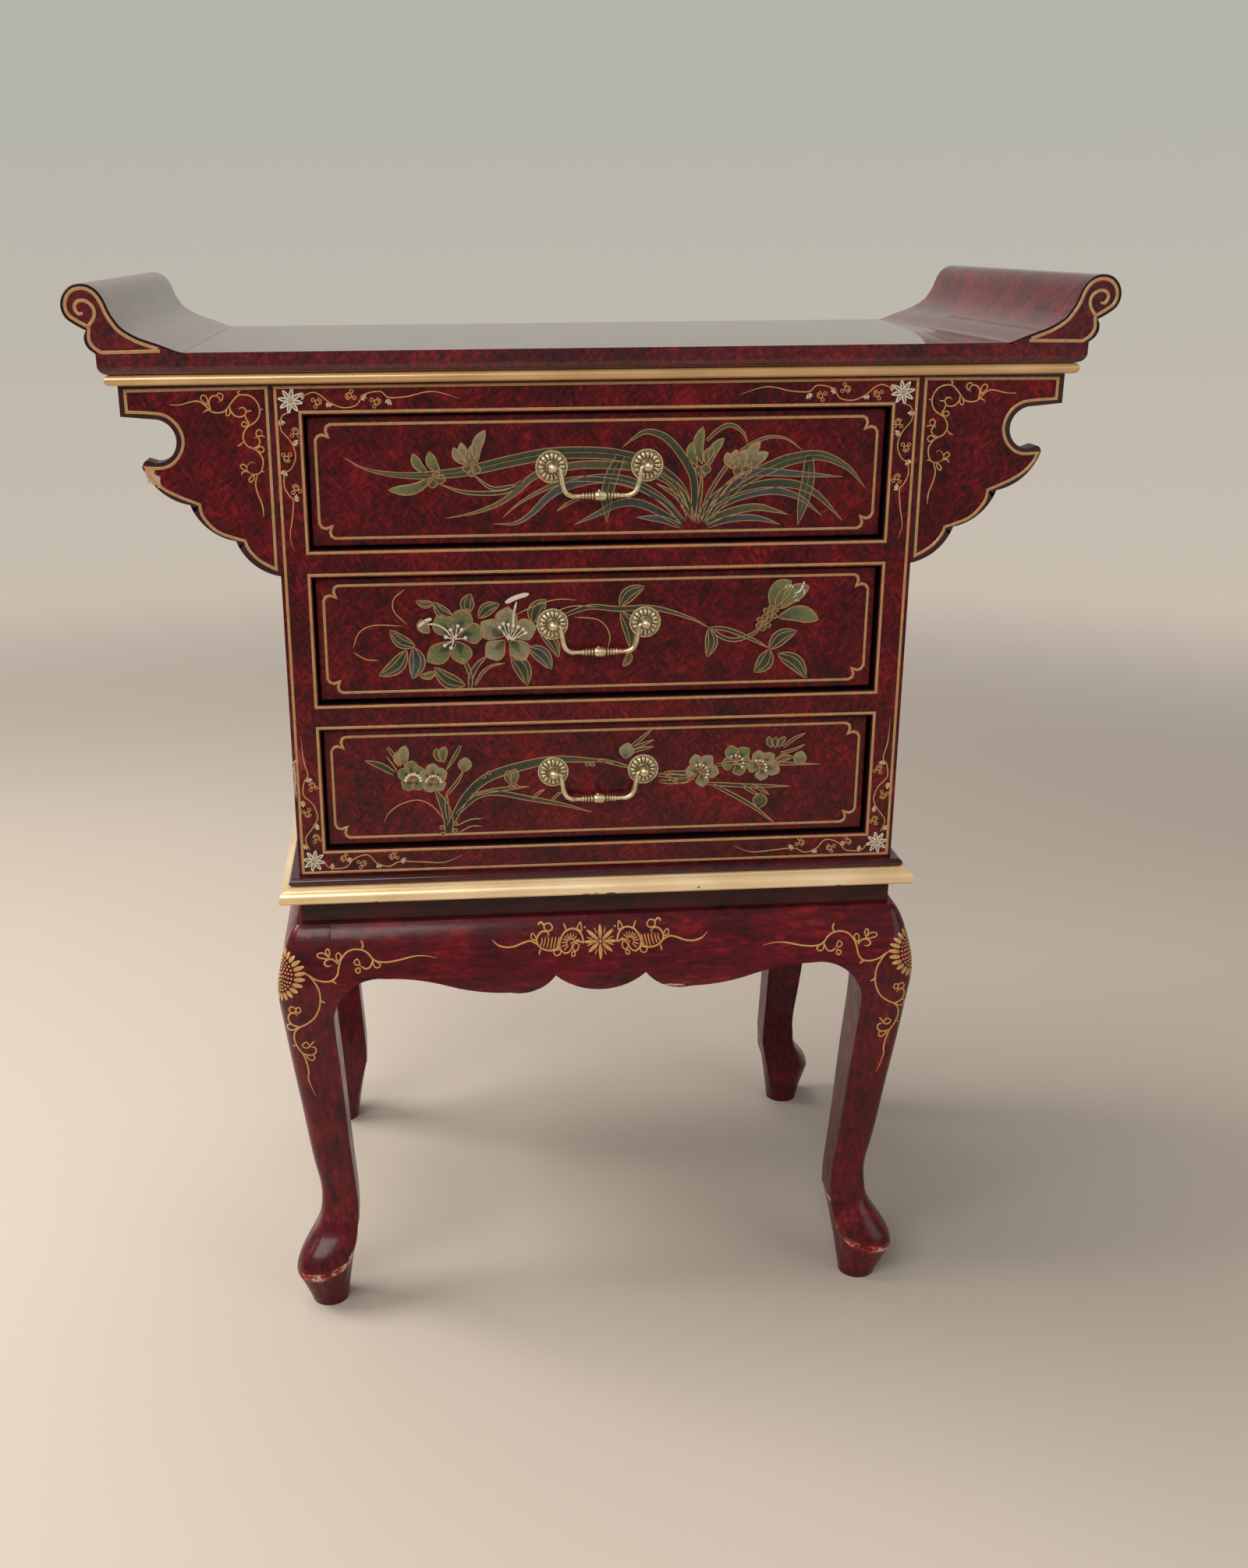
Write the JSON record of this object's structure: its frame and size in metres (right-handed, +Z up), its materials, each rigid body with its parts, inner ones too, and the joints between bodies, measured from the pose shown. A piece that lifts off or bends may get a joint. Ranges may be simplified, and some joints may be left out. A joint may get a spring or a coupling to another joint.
{
  "type": "temple cabinet",
  "caption": "Lacquered altar cabinet: sliding drawers with swinging bail handles in a framed case, scrolled top, wing brackets and a cabriole-leg stand.",
  "frame": {"origin": "on the floor, under the middle of the case", "axes": "+X to the right, +Y to the back, +Z up; the drawers open towards -Y"},
  "size_m": [0.8046, 0.3984, 0.8991],
  "materials": {
    "red_lacquer": "gloss lacquer, crimson with dark mottling",
    "dark_lacquer": "gloss lacquer, near black",
    "gold_paint": "satin gold paint",
    "plain_wood": "bare wood",
    "brass": "aged brass",
    "steel": "plain steel screws"
  },
  "bodies": {
    "cabinet": {"top_board": "red_lacquer", "left_scroll_end": "red_lacquer", "right_scroll_end": "red_lacquer", "left_wing_bracket": "red_lacquer", "right_wing_bracket": "red_lacquer", "left_side_panel": "red_lacquer", "right_side_panel": "red_lacquer", "back_panel": "red_lacquer", "left_stile": "red_lacquer", "right_stile": "red_lacquer", "top_rail": "red_lacquer", "upper_divider_rail": "red_lacquer", "lower_divider_rail": "red_lacquer", "bottom_rail": "red_lacquer", "base_red_bead": "red_lacquer", "front_apron": "red_lacquer", "back_apron": "red_lacquer", "left_apron": "red_lacquer", "right_apron": "red_lacquer", "front_left_leg": "red_lacquer", "front_right_leg": "red_lacquer", "back_left_leg": "red_lacquer", "back_right_leg": "red_lacquer", "waist_strips": "dark_lacquer", "top_gold_bead": "gold_paint", "base_gold_band": "gold_paint", "sub_top_board": "plain_wood", "case_top_panel": "plain_wood", "case_bottom_panel": "plain_wood", "drawer_runners": "plain_wood", "drawer_stops": "plain_wood", "corner_blocks": "plain_wood", "wing_dowels": "plain_wood", "corner_screws": "steel", "top_screws": "steel"},
    "lower_drawer": {"lower_drawer_front": "red_lacquer", "lower_drawer_sides": "plain_wood", "lower_drawer_back": "plain_wood", "lower_drawer_bottom": "plain_wood", "lower_rosettes": "brass", "lower_posts": "brass", "lower_nuts": "brass"},
    "lower_bail_pull": {"lower_bail": "brass"},
    "middle_drawer": {"middle_drawer_front": "red_lacquer", "middle_drawer_sides": "plain_wood", "middle_drawer_back": "plain_wood", "middle_drawer_bottom": "plain_wood", "middle_rosettes": "brass", "middle_posts": "brass", "middle_nuts": "brass"},
    "middle_bail_pull": {"middle_bail": "brass"},
    "upper_drawer": {"upper_drawer_front": "red_lacquer", "upper_drawer_sides": "plain_wood", "upper_drawer_back": "plain_wood", "upper_drawer_bottom": "plain_wood", "upper_rosettes": "brass", "upper_posts": "brass", "upper_nuts": "brass"},
    "upper_bail_pull": {"upper_bail": "brass"}
  },
  "joints": [
    {"name": "lower_drawer_slide", "type": "slide", "parent": "cabinet", "child": "lower_drawer", "axis": [0, -1, 0], "range_m": [0, 0.24]},
    {"name": "lower_bail_swing", "type": "hinge", "parent": "lower_drawer", "child": "lower_bail_pull", "pos_m": [0, -0.1775, 0.5056], "axis": [-1, 0, 0], "range_deg": [-10, 180]},
    {"name": "middle_drawer_slide", "type": "slide", "parent": "cabinet", "child": "middle_drawer", "axis": [0, -1, 0], "range_m": [0, 0.24]},
    {"name": "middle_bail_swing", "type": "hinge", "parent": "middle_drawer", "child": "middle_bail_pull", "pos_m": [0, -0.1775, 0.6318], "axis": [-1, 0, 0], "range_deg": [-10, 180]},
    {"name": "upper_drawer_slide", "type": "slide", "parent": "cabinet", "child": "upper_drawer", "axis": [0, -1, 0], "range_m": [0, 0.24]},
    {"name": "upper_bail_swing", "type": "hinge", "parent": "upper_drawer", "child": "upper_bail_pull", "pos_m": [0, -0.1775, 0.758], "axis": [-1, 0, 0], "range_deg": [-10, 180]}
  ]
}
